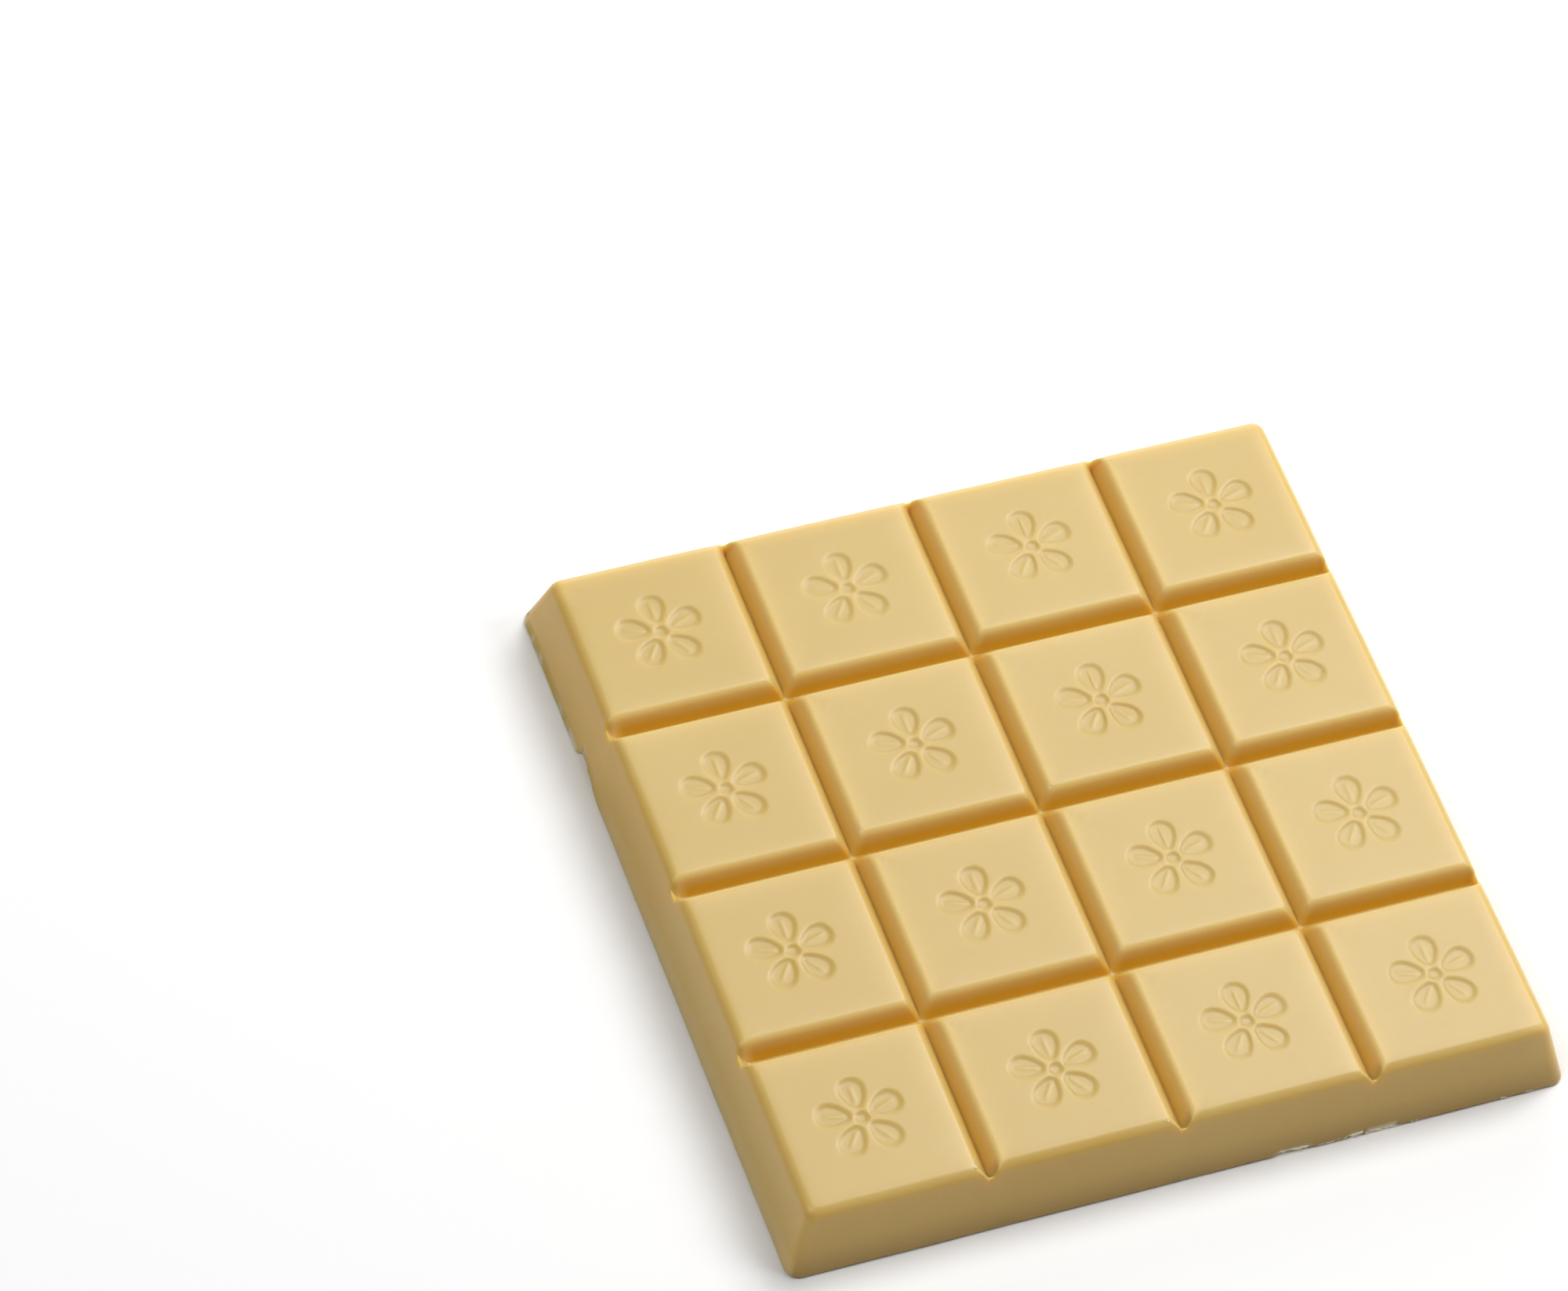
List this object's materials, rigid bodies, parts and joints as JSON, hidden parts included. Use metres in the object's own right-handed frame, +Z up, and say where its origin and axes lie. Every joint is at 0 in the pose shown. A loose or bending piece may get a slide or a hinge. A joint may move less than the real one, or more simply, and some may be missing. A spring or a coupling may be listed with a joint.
{
  "type": "chocolate bar",
  "caption": "Flat square slab of moulded white chocolate, parted by V grooves into squares with a small blossom pressed into each.",
  "frame": {"origin": "centre of the flat underside, on the surface that the slab lies on", "axes": "+Z up out of the squares; X and Y along the two sets of grooves, with +Y towards the far side in the picture and +X to its right"},
  "size_m": [0.0776, 0.0784, 0.0074],
  "materials": {
    "chocolate": "satin ivory white chocolate, slightly translucent"
  },
  "bodies": {
    "root": {"slab": "chocolate"}
  },
  "joints": []
}
